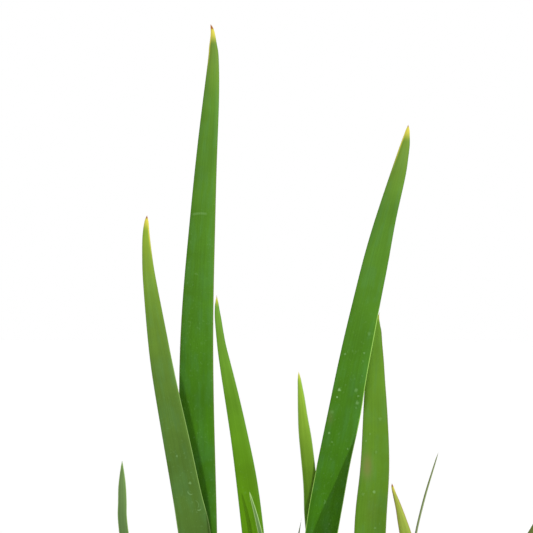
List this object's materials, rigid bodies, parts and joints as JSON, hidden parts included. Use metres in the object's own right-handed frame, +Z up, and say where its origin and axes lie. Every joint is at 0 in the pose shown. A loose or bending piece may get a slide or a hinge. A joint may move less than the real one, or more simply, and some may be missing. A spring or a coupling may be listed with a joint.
{
  "type": "potted siberian iris",
  "caption": "Clump of upright sword-shaped iris leaves in folded fans, rooted in potting mix in a plain round tapered black nursery pot; stands on its flat base.",
  "frame": {"origin": "centre of the pot's flat underside", "axes": "+Z up along the pot, -Y the front that the picture shows, +X to the picture's right"},
  "size_m": [0.2189, 0.165, 0.5316],
  "materials": {
    "pot": "moulded black polypropylene, satin",
    "soil": "moist peat and bark potting mix",
    "rhizome": "fibrous brown rhizome",
    "leaf": "smooth waxy green leaf, finely ribbed",
    "dry_sheath": "dry papery brown sheath"
  },
  "bodies": {
    "root": {"dry_sheath_a": "dry_sheath", "dry_sheath_e": "dry_sheath", "dry_sheath_h": "dry_sheath", "leaf_a1": "leaf", "leaf_a2": "leaf", "leaf_a3": "leaf", "leaf_b1": "leaf", "leaf_b2": "leaf", "leaf_b3": "leaf", "leaf_c1": "leaf", "leaf_c2": "leaf", "leaf_c3": "leaf", "leaf_d1": "leaf", "leaf_d2": "leaf", "leaf_e1": "leaf", "leaf_e2": "leaf", "leaf_e3": "leaf", "leaf_f1": "leaf", "leaf_f2": "leaf", "leaf_g1": "leaf", "leaf_g2": "leaf", "leaf_g3": "leaf", "leaf_h1": "leaf", "leaf_h2": "leaf", "leaf_h3": "leaf", "leaf_i1": "leaf", "leaf_i2": "leaf", "leaf_i3": "leaf", "leaf_j1": "leaf", "leaf_j2": "leaf", "leaf_k1": "leaf", "leaf_k2": "leaf", "leaf_l1": "leaf", "leaf_l2": "leaf", "leaf_l3": "leaf", "leaf_m1": "leaf", "leaf_m2": "leaf", "leaf_m3": "leaf", "pot": "pot", "rhizome_a": "rhizome", "rhizome_b": "rhizome", "rhizome_c": "rhizome", "rhizome_d": "rhizome", "rhizome_e": "rhizome", "rhizome_f": "rhizome", "rhizome_g": "rhizome", "rhizome_h": "rhizome", "rhizome_i": "rhizome", "rhizome_j": "rhizome", "rhizome_k": "rhizome", "rhizome_l": "rhizome", "rhizome_m": "rhizome", "soil": "soil"}
  },
  "joints": []
}
